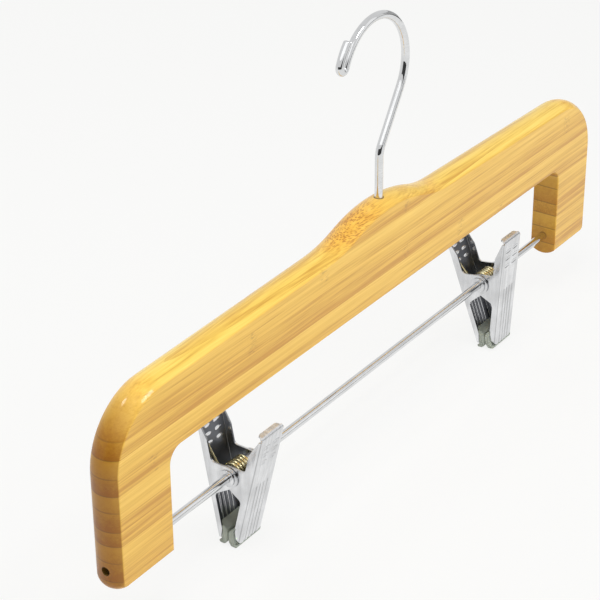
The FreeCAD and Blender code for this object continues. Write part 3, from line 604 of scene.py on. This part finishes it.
def soft_vinyl(colour):
    """Moulded soft vinyl: grey-green and slightly see-through, with a fine matt skin and dust."""
    material, tree = new_material("soft_vinyl")
    at = add(tree, "ShaderNodeTexCoord").outputs["Object"]
    skin = add(tree, NOISE, {"Vector": at, "Scale": 1 / VINYL_GRAIN, "Detail": 2.0})
    dust = add(tree, NOISE, {"Vector": at, "Scale": 1 / DUST_SIZE, "Detail": 2.0})
    tint = add(tree, RAMP, {0: dust})
    set_stops(tint, [(0.35, dimmed(colour, DUST_SHARE)), (0.65, colour)])
    relief = add(tree, "ShaderNodeBump", {
        "Strength": 0.15, "Distance": VINYL_GRAIN_RELIEF, "Height": skin})
    surface = add(tree, "ShaderNodeBsdfPrincipled", {
        "Base Color": tint, "Normal": relief, "IOR": 1.5,
        "Roughness": add(tree, MAP_RANGE, {"Value": skin, TO: VINYL_ROUGHNESS}),
        "Subsurface Weight": 0.25, "Subsurface Radius": (1.0, 1.0, 0.8),
        "Subsurface Scale": VINYL_GLOW_DEPTH})
    add(tree, "ShaderNodeOutputMaterial", {"Surface": surface})
    return material


# Shapes

def clip_frame(side):
    """The upright clip's own frame: on the rod, at the middle of its sleeve, turned with it."""
    low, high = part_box(f"{side}_pivot_sleeve")
    return Matrix.Translation((low + high) / 2) @ Matrix.Rotation(CLIP_TILTS[side], 4, "X")


def jaw_frame(side, jaw):
    """The frame of one leaning jaw: its plate lies towards +Y and its tab points up +Z."""
    if jaw == "back":
        return clip_frame(side) @ Matrix.Rotation(-JAW_LEAN, 4, "X")
    return clip_frame(side) @ Matrix.Rotation(JAW_LEAN, 4, "X") @ Matrix.Rotation(math.pi, 4, "Z")


def new_piece(name, mesh, material):
    """A finished piece at the origin, with its place in its mesh."""
    mesh.name = name
    mesh.materials.clear()
    mesh.materials.append(material)
    piece = bpy.data.objects.new(name, mesh)
    bpy.context.scene.collection.objects.link(piece)
    return piece


SMOOTH_ANGLE = math.radians(35)


def loft(rings):
    """A closed smooth skin over rings of points, with a face over each end."""
    shape = bmesh.new()
    rows = [[shape.verts.new(point) for point in ring] for ring in rings]
    count = len(rows[0])
    for one, two in zip(rows, rows[1:]):
        for i in range(count):
            j = (i + 1) % count
            shape.faces.new((one[i], one[j], two[j], two[i]))
    shape.faces.new(rows[0])
    shape.faces.new(rows[-1])
    bmesh.ops.recalc_face_normals(shape, faces=shape.faces)
    for face in shape.faces:
        face.smooth = True
    mesh = bpy.data.meshes.new("loft")
    shape.to_mesh(mesh)
    shape.free()
    mesh.set_sharp_from_angle(angle=SMOOTH_ANGLE)
    return mesh


def new_tree(name, sockets):
    """A Geometry Nodes tree with named inputs; returns it with its group input's sockets."""
    tree = bpy.data.node_groups.new(name, "GeometryNodeTree")
    tree.interface.new_socket("Geometry", in_out="INPUT", socket_type="NodeSocketGeometry")
    tree.interface.new_socket("Geometry", in_out="OUTPUT", socket_type="NodeSocketGeometry")
    for socket, kind in sockets.items():
        tree.interface.new_socket(socket, in_out="INPUT", socket_type=kind)
    return tree, add(tree, "NodeGroupInput").outputs


def run_tree(tree, points, edges, values):
    """Run a tree on a holder of points and edges; its result as a plain mesh, and the holder goes."""
    mesh = bpy.data.meshes.new("holder")
    mesh.from_pydata(points, edges, [])
    holder = bpy.data.objects.new("holder", mesh)
    bpy.context.scene.collection.objects.link(holder)
    modifier = holder.modifiers.new("shape", "NODES")
    modifier.node_group = tree
    for item in tree.interface.items_tree:
        if item.in_out == "INPUT" and item.name in values:
            modifier[item.identifier] = values[item.name]
    graph = bpy.context.evaluated_depsgraph_get()
    result = bpy.data.meshes.new_from_object(holder.evaluated_get(graph))
    bpy.data.objects.remove(holder)
    return result


def wire_tree():
    """Round wire along the holder's edges."""
    tree, given = new_tree("hanger_wire", {
        "Radius": "NodeSocketFloat", "Sides": "NodeSocketInt", "Material": "NodeSocketMaterial"})
    line = add(tree, "GeometryNodeMeshToCurve", {"Mesh": given["Geometry"]})
    ring = add(tree, "GeometryNodeCurvePrimitiveCircle", {
        "Resolution": given["Sides"], "Radius": given["Radius"]})
    wire = add(tree, "GeometryNodeCurveToMesh", {"Curve": line, "Profile Curve": ring, "Fill Caps": True})
    smooth = add(tree, "GeometryNodeSetShadeSmooth", {"Geometry": wire})
    real = add(tree, "GeometryNodeRealizeInstances", {"Geometry": smooth})
    done = add(tree, "GeometryNodeSetMaterial", {"Geometry": real, "Material": given["Material"]})
    add(tree, "NodeGroupOutput", {"Geometry": done})
    return tree


BUMP_SEGMENTS = 24
BUMP_RINGS = 12


def bump_tree():
    """Low rounded bumps or ribs, one on each point of the holder: a ball 1 across, made their size."""
    tree, given = new_tree("hanger_bumps", {
        "Size": "NodeSocketVector", "Material": "NodeSocketMaterial"})
    ball = add(tree, "GeometryNodeMeshUVSphere", {
        "Segments": BUMP_SEGMENTS, "Rings": BUMP_RINGS, "Radius": 0.5})
    bump = add(tree, "GeometryNodeTransform", {"Geometry": ball.outputs["Mesh"], "Scale": given["Size"]})
    bumps = add(tree, "GeometryNodeInstanceOnPoints", {"Points": given["Geometry"], "Instance": bump})
    real = add(tree, "GeometryNodeRealizeInstances", {"Geometry": bumps})
    smooth = add(tree, "GeometryNodeSetShadeSmooth", {"Geometry": real})
    done = add(tree, "GeometryNodeSetMaterial", {"Geometry": smooth, "Material": given["Material"]})
    add(tree, "NodeGroupOutput", {"Geometry": done})
    return tree


SPRING_STEPS_PER_TURN = 40
SPRING_SIDES = 14


def spring_line(spring):
    """Points of the spring's middle line in the clip's frame: back leg, coil, front leg."""
    lean = spring.leg_angle
    sweep = 2 * math.pi * spring.turns + math.pi - 2 * lean
    steps = round(sweep / (2 * math.pi) * SPRING_STEPS_PER_TURN)
    coil = []
    for i in range(steps + 1):
        turned = sweep * i / steps
        angle = -lean - turned
        along = spring.start + spring.pitch * turned / (2 * math.pi)
        coil.append(Vector((along, spring.radius * math.cos(angle), spring.radius * math.sin(angle))))
    first = coil[0] + spring.leg * Vector((0, math.sin(lean), math.cos(lean)))
    last = coil[-1] + spring.leg * Vector((0, -math.sin(lean), math.cos(lean)))
    return [first] + coil + [last]


# The jaw's plate in its own frame: its outer face, its sheet, and its middle beside the clip's.
PLATE_OUT = 10.6 * MM
SHEET = 0.8 * MM
JAW_MIDDLE = -0.5 * MM
BUMP_SUNK_SHARE = 0.4
BUMP_COLUMNS = 2
BUMP_ROWS = 3
RIBS = 4


def lens(length, height, width):
    """Size of the lens whose cap is a bump, and how deep its middle lies in the sheet."""
    half = height / (1 - BUMP_SUNK_SHARE)
    cap_share = math.sqrt(1 - BUMP_SUNK_SHARE ** 2)
    return (length / cap_share, 2 * half, width / cap_share), half * BUMP_SUNK_SHARE


def bump_places(bumps, sunk):
    """The bumps' middles at the inside of the tab, in the jaw's frame."""
    places = []
    for row in range(BUMP_ROWS):
        for column in range(BUMP_COLUMNS):
            x = JAW_MIDDLE + (column - (BUMP_COLUMNS - 1) / 2) * bumps.column_pitch
            places.append((x, PLATE_OUT - SHEET + sunk, bumps.start + row * bumps.row_pitch))
    return places


def rib_places(bumps, sunk):
    """The ribs' middles at the inside of the plate below the rod, in the jaw's frame."""
    places = []
    for i in range(RIBS):
        x = JAW_MIDDLE + (i - (RIBS - 1) / 2) * bumps.rib_pitch
        places.append((x, PLATE_OUT - SHEET + sunk, -bumps.rib_start - bumps.rib_length / 2))
    return places


# The grip: levels in the upright clip, its halves' gap and nose, and its ends along the clip.
GRIP_HALF_GAP = 0.15 * MM
GRIP_TOP, GRIP_BOTTOM = -23.5 * MM, -32.2 * MM
GRIP_FACE_TOP, GRIP_FACE_BOTTOM = -25.3 * MM, -30.3 * MM
GRIP_NOSE = 1.45 * MM
GRIP_HEAD_END = 8.3 * MM
GRIP_BLOCK_ENDS = (-7.35 * MM, 6.35 * MM)
GRIP_ROUNDS = [size * MM for size in (1.2, 1.2, 0.6, 0.6, 0.2, 0.2, 0.2, 0.2)]
GRIP_ARC_STEPS = 5
GRIP_STEP = 0.12 * MM
# What it holds on to, in the jaw's frame: the plate's end and inside, and the walls' ends.
PLATE_END = -29.63 * MM
PLATE_SEAT = 9.77 * MM
WALL_LOW, WALL_HIGH = (9.45 * MM, PLATE_END), (7.55 * MM, -24.0 * MM)
# How the grip's ends round off: share of the rounding's depth, and share of the section's size.
GRIP_END_SHARES = ((0.0, 0.84), (0.08, 0.91), (0.3, 0.965), (0.62, 0.992), (1.0, 1.0))
GRIP_END_DEPTH = 0.8 * MM


def to_jaw(y, z):
    """A place in the upright clip's section, in the frame of the leaning jaw."""
    return (y * math.cos(JAW_LEAN) - z * math.sin(JAW_LEAN),
            y * math.sin(JAW_LEAN) + z * math.cos(JAW_LEAN))


def on_jaw(y, level):
    """The place at a given level in the upright clip, a given way out in the jaw's frame."""
    return y, (level + y * math.sin(JAW_LEAN)) / math.cos(JAW_LEAN)


def softened(corners, reaches, steps):
    """Points round a closed outline, each corner eased by a curve that starts its reach away."""
    points = []
    places = [Vector(corner) for corner in corners]
    for i, (place, reach) in enumerate(zip(places, reaches)):
        start = place + (places[i - 1] - place).normalized() * reach
        end = place + (places[(i + 1) % len(places)] - place).normalized() * reach
        for k in range(steps + 1):
            share = k / steps
            points.append(start.lerp(place, share).lerp(place.lerp(end, share), share))
    return points


def grip_sections():
    """The grip's outline in front of the jaw's walls, and between them."""
    shared = [
        to_jaw(GRIP_HALF_GAP, GRIP_FACE_TOP), to_jaw(GRIP_HALF_GAP, GRIP_FACE_BOTTOM),
        to_jaw(GRIP_HALF_GAP + GRIP_NOSE, GRIP_BOTTOM), on_jaw(PLATE_OUT, GRIP_BOTTOM),
        (PLATE_OUT, PLATE_END),
    ]
    head = shared + [WALL_LOW, WALL_HIGH, on_jaw(WALL_HIGH[0], GRIP_TOP)]
    block = shared + [(PLATE_SEAT, PLATE_END), (PLATE_SEAT, WALL_HIGH[1]), on_jaw(PLATE_SEAT, GRIP_TOP)]
    return [softened(corners, GRIP_ROUNDS, GRIP_ARC_STEPS) for corners in (head, block)]


def grip_rings():
    """Rings along the clip: a rounded end, the head, the block between the walls, and back."""
    head, block = grip_sections()
    middle = sum(head, Vector((0, 0))) / len(head)
    rings = []

    def ring(x, section, share=1.0):
        rings.append([Vector((x, *(middle + (point - middle) * share))) for point in section])

    for depth, share in GRIP_END_SHARES:
        ring(-GRIP_HEAD_END + depth * GRIP_END_DEPTH, head, share)
    ring(GRIP_BLOCK_ENDS[0], head)
    ring(GRIP_BLOCK_ENDS[0] + GRIP_STEP, block)
    ring(GRIP_BLOCK_ENDS[1] - GRIP_STEP, block)
    ring(GRIP_BLOCK_ENDS[1], head)
    for depth, share in reversed(GRIP_END_SHARES):
        ring(GRIP_HEAD_END - depth * GRIP_END_DEPTH, head, share)
    return rings


# Stage

FLOOR_REACH = 4.0
FLOOR_GLOW_SHARE = 0.9
# How strongly the surroundings light the hanger, and how bright they look.
WORLD_LEVELS = (0.25, 0.8)

# Soft lights: name, place, width and depth, watts, and whether the metal and the lacquer mirror them.
LIGHTS = (
    ("top_softbox", (-0.22, -0.08, 0.7), (0.4, 0.4), 4.1, False),
    ("front_accent", (0.03, -0.4, 0.57), (0.3, 0.09), 1.1, True),
    ("back_accent", (-0.3, 0.365, 0.61), (0.16, 0.12), 0.8, True),
    ("front_softbox", (0.6, -1.05, 0.4), (1.2, 1.2), 6.9, False),
    ("left_fill", (-0.95, -0.75, 0.2), (0.5, 0.5), 1.7, False),
    ("back_softbox", (0.25, 0.95, 0.55), (0.8, 0.8), 2.8, False),
)
LIGHTS_AIM = Vector((0, 0, -0.12))

# Screens round the hanger: name, azimuths, lower and upper height, and brightness.
SCREENS = (
    ("camera_side", (-105, -15), (CAD_LOW.z, 0.26), 0.05),
    ("left_card", (-115, -30), (0.5, 1.5), 1.35),
    ("front_card", (14, 50), (-0.06, 0.84), 1.05),
    ("horizon_strip", (14, 85), (CAD_LOW.z, -0.09), 0.08),
    ("right_screen", (60, 105), (-0.09, 0.22), 0.42),
    ("upper_gap", (0, 22), (0.75, 2.4), 0.4),
)
SCREEN_RADIUS = 0.95
SCREEN_STEPS = 24

# The board's middle at the level of its legs' ends, and how far right, up and away the camera sees it.
VIEW_CENTRE = Vector((0, -0.25, -163.584)) * MM
VIEW_OFFSET = Vector((32.933, -35.022, 825.284)) * MM
SENSOR_WIDTH = 36.0


def seen_rays(tree):
    """1 for camera, glossy and transmission rays, 0 for the rays that light the object."""
    rays = add(tree, "ShaderNodeLightPath")
    either = add(tree, MATH, {
        0: rays.outputs["Is Camera Ray"], 1: rays.outputs["Is Glossy Ray"]}, operation="MAXIMUM")
    return add(tree, MATH, {0: either, 1: rays.outputs["Is Transmission Ray"]}, operation="MAXIMUM")


def make_floor(colour):
    """A pale floor that mostly glows evenly to the eye and keeps the hanger's shadow."""
    material, tree = new_material("pale_floor")
    board = add(tree, "ShaderNodeBsdfDiffuse", {"Color": rgba(colour)})
    glow = add(tree, "ShaderNodeEmission", {"Color": rgba(colour), "Strength": 1.0})
    share = add(tree, MATH, {0: seen_rays(tree), 1: FLOOR_GLOW_SHARE}, operation="MULTIPLY")
    mixed = add(tree, "ShaderNodeMixShader", {0: share, 1: board, 2: glow})
    add(tree, "ShaderNodeOutputMaterial", {"Surface": mixed})
    mesh = bpy.data.meshes.new("floor")
    corners = ((-1, -1), (1, -1), (1, 1), (-1, 1))
    points = [(x * FLOOR_REACH, y * FLOOR_REACH, CAD_LOW.z) for x, y in corners]
    mesh.from_pydata(points, [], [(0, 1, 2, 3)])
    new_piece("floor", mesh, material)


def make_world(scene):
    world = bpy.data.worlds.new("studio")
    world.use_nodes = True
    tree = world.node_tree
    tree.nodes.clear()
    level = add(tree, MAP_RANGE, {"Value": seen_rays(tree), TO: WORLD_LEVELS})
    glow = add(tree, "ShaderNodeBackground", {"Color": rgba(WHITE), "Strength": level})
    add(tree, "ShaderNodeOutputWorld", {"Surface": glow})
    scene.world = world


def make_lights(scene):
    for name, place, (width, depth), watts, mirrored in LIGHTS:
        light = bpy.data.lights.new(name, "AREA")
        light.shape = "RECTANGLE"
        light.size = width
        light.size_y = depth
        light.energy = watts
        lamp = bpy.data.objects.new(name, light)
        lamp.location = place
        lamp.rotation_euler = (LIGHTS_AIM - Vector(place)).to_track_quat("-Z", "Y").to_euler()
        lamp.visible_camera = False
        lamp.visible_glossy = mirrored
        scene.collection.objects.link(lamp)


def make_screens():
    """Dark and pale screens seen only as reflections: they draw the lines and spots in the chrome."""
    for name, azimuths, heights, brightness in SCREENS:
        material, tree = new_material(name)
        glow = add(tree, "ShaderNodeEmission", {"Color": rgba(WHITE), "Strength": brightness})
        add(tree, "ShaderNodeOutputMaterial", {"Surface": glow})
        first, last = (math.radians(angle) for angle in azimuths)
        points = []
        for i in range(SCREEN_STEPS + 1):
            turn = first + (last - first) * i / SCREEN_STEPS
            for z in heights:
                points.append((SCREEN_RADIUS * math.sin(turn), -SCREEN_RADIUS * math.cos(turn), z))
        faces = [(one, one + 1, one + 3, one + 2) for one in range(0, 2 * SCREEN_STEPS, 2)]
        mesh = bpy.data.meshes.new(name)
        mesh.from_pydata(points, [], faces)
        screen = new_piece(name, mesh, material)
        screen.visible_camera = False
        screen.visible_diffuse = False
        screen.visible_shadow = False
        screen.visible_transmission = False


def make_camera(scene, stage):
    turn, rise, roll = stage.azimuth, stage.elevation, stage.roll
    back = Vector((math.sin(turn) * math.cos(rise), -math.cos(turn) * math.cos(rise), math.sin(rise)))
    level = Z_AXIS.cross(back).normalized()
    upright = back.cross(level)
    right = math.cos(roll) * level + math.sin(roll) * upright
    up = back.cross(right)
    data = bpy.data.cameras.new("photo_camera")
    data.lens = stage.lens
    data.sensor_width = SENSOR_WIDTH
    camera = bpy.data.objects.new("photo_camera", data)
    axes = Matrix((right, up, back)).transposed()
    spot = VIEW_CENTRE + VIEW_OFFSET.z * back - VIEW_OFFSET.x * right - VIEW_OFFSET.y * up
    camera.matrix_world = Matrix.Translation(spot) @ axes.to_4x4()
    scene.collection.objects.link(camera)
    scene.camera = camera


# Operators

# The plates' drawing or rolling marks, as lengths along X, Y and Z, their roughness, and their haze.
WIRE_PLATE = ((30 * MM, 0.6 * MM, 0.6 * MM), 0.06, 0.15)
SHEET_PLATE = ((0.9 * MM, 3 * MM, 30 * MM), 0.2, 0.28)


class HANGER_OT_finishes(bpy.types.Operator):
    """Give the board, rod, hook, washer, jaws and sleeves their finishes"""
    bl_idname = "hanger.finishes"
    bl_label = "Finish Solid Pieces"

    def execute(self, context):
        scene = context.scene
        metal = scene.hanger_metal
        low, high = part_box("crossbar_rod")
        rod_axis = (low + high) / 2
        bamboo = lacquered_bamboo(scene.hanger_bamboo, rod_axis)
        wire = bright_chrome("chromed_wire", tuple(metal.chrome), *WIRE_PLATE)
        sheet = bright_chrome("chromed_sheet", tuple(metal.sheet), *SHEET_PLATE, inside=rod_axis)
        finishes = {"bamboo_board": bamboo, "crossbar_rod": wire, "hook_wire": wire,
                    "hook_washer": zinc_plate(tuple(metal.zinc))}
        for side in SIDES:
            finishes[f"{side}_pivot_sleeve"] = sheet
            for jaw in JAWS:
                finishes[f"{side}_{jaw}_jaw"] = sheet
        for name, material in finishes.items():
            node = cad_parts[name]
            if not node.material_slots:
                raise RuntimeError(f"{name} has no material slot")
            for slot in node.material_slots:
                slot.material = material
        return {"FINISHED"}


class HANGER_OT_springs(bpy.types.Operator):
    """Wind the two torsion springs, each bending between its clip's jaws"""
    bl_idname = "hanger.springs"
    bl_label = "Wind Springs"

    def execute(self, context):
        spring = context.scene.hanger_spring
        material = brassed_wire(tuple(context.scene.hanger_metal.brass))
        tree = wire_tree()
        line = spring_line(spring)
        edges = [(i, i + 1) for i in range(len(line) - 1)]
        for side in SIDES:
            mesh = run_tree(tree, line, edges, {
                "Radius": spring.wire / 2, "Sides": SPRING_SIDES, "Material": material})
            place = clip_frame(side)
            mesh.transform(place)
            piece = new_piece(f"{side}_torsion_spring", mesh, material)
            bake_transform(piece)
            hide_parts(f"{side}_spring")
        return {"FINISHED"}


class HANGER_OT_bumps(bpy.types.Operator):
    """Raise the bumps and ribs inside the jaws, behind the dents and grooves pressed from outside"""
    bl_idname = "hanger.bumps"
    bl_label = "Raise Bumps and Ribs"

    def execute(self, context):
        bumps = context.scene.hanger_bumps
        # The plain plate that the jaws' solids come with
        material = bpy.data.materials["chromed_sheet"]
        tree = bump_tree()
        bump, bump_sunk = lens(bumps.length, bumps.height, bumps.width)
        rib, rib_sunk = lens(bumps.rib_width, bumps.height, bumps.rib_length)
        kinds = (
            ("tab_bumps", bump, bump_places(bumps, bump_sunk)),
            ("plate_ribs", rib, rib_places(bumps, rib_sunk)),
        )
        for side in SIDES:
            for jaw in JAWS:
                for kind, size, places in kinds:
                    mesh = run_tree(tree, places, [], {"Size": size, "Material": material})
                    mesh.transform(jaw_frame(side, jaw))
                    piece = new_piece(f"{side}_{jaw}_{kind}", mesh, material)
                    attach(piece, f"{side}_{jaw}")
        return {"FINISHED"}


class HANGER_OT_grips(bpy.types.Operator):
    """Mould the four soft grips into the ends of the jaws"""
    bl_idname = "hanger.grips"
    bl_label = "Mould Grips"

    def execute(self, context):
        material = soft_vinyl(tuple(context.scene.hanger_vinyl.grip))
        rings = grip_rings()
        for side in SIDES:
            for jaw in JAWS:
                mesh = loft(rings)
                mesh.transform(jaw_frame(side, jaw))
                piece = new_piece(f"{side}_{jaw}_vinyl_grip", mesh, material)
                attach(piece, f"{side}_{jaw}")
                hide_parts(f"{side}_{jaw}_grip")
        return {"FINISHED"}


class HANGER_OT_stage(bpy.types.Operator):
    """Set the floor, the soft lights, the surroundings and the camera"""
    bl_idname = "hanger.stage"
    bl_label = "Set Stage"

    def execute(self, context):
        scene = context.scene
        make_floor(tuple(scene.hanger_stage.floor))
        make_world(scene)
        make_lights(scene)
        make_screens()
        make_camera(scene, scene.hanger_stage)
        scene.view_settings.view_transform = "Standard"
        return {"FINISHED"}


class HANGER_PT_panel(bpy.types.Panel):
    """The hanger's steps, and the sizes and colours that they use"""
    bl_label = "Skirt Hanger"
    bl_space_type = "VIEW_3D"
    bl_region_type = "UI"
    bl_category = "Hanger"

    def draw(self, context):
        for operator in OPERATORS:
            self.layout.operator(operator.bl_idname)
        for name, group in GROUPS.items():
            box = self.layout.box()
            for value in group.__annotations__:
                box.prop(getattr(context.scene, name), value)


GROUPS = {
    "hanger_bamboo": HangerBamboo, "hanger_metal": HangerMetal, "hanger_vinyl": HangerVinyl,
    "hanger_spring": HangerSpring, "hanger_bumps": HangerBumps, "hanger_stage": HangerStage,
}
OPERATORS = (HANGER_OT_finishes, HANGER_OT_springs, HANGER_OT_bumps, HANGER_OT_grips, HANGER_OT_stage)


def register():
    for group in (*GROUPS.values(), *OPERATORS, HANGER_PT_panel):
        bpy.utils.register_class(group)
    for name, group in GROUPS.items():
        setattr(bpy.types.Scene, name, bpy.props.PointerProperty(type=group))


def unregister():
    for name in GROUPS:
        delattr(bpy.types.Scene, name)
    for group in (HANGER_PT_panel, *reversed(OPERATORS), *reversed(GROUPS.values())):
        bpy.utils.unregister_class(group)


def main():
    register()
    bpy.ops.hanger.finishes()
    bpy.ops.hanger.springs()
    bpy.ops.hanger.bumps()
    bpy.ops.hanger.grips()
    bpy.ops.hanger.stage()


if __name__ == "__main__":
    main()
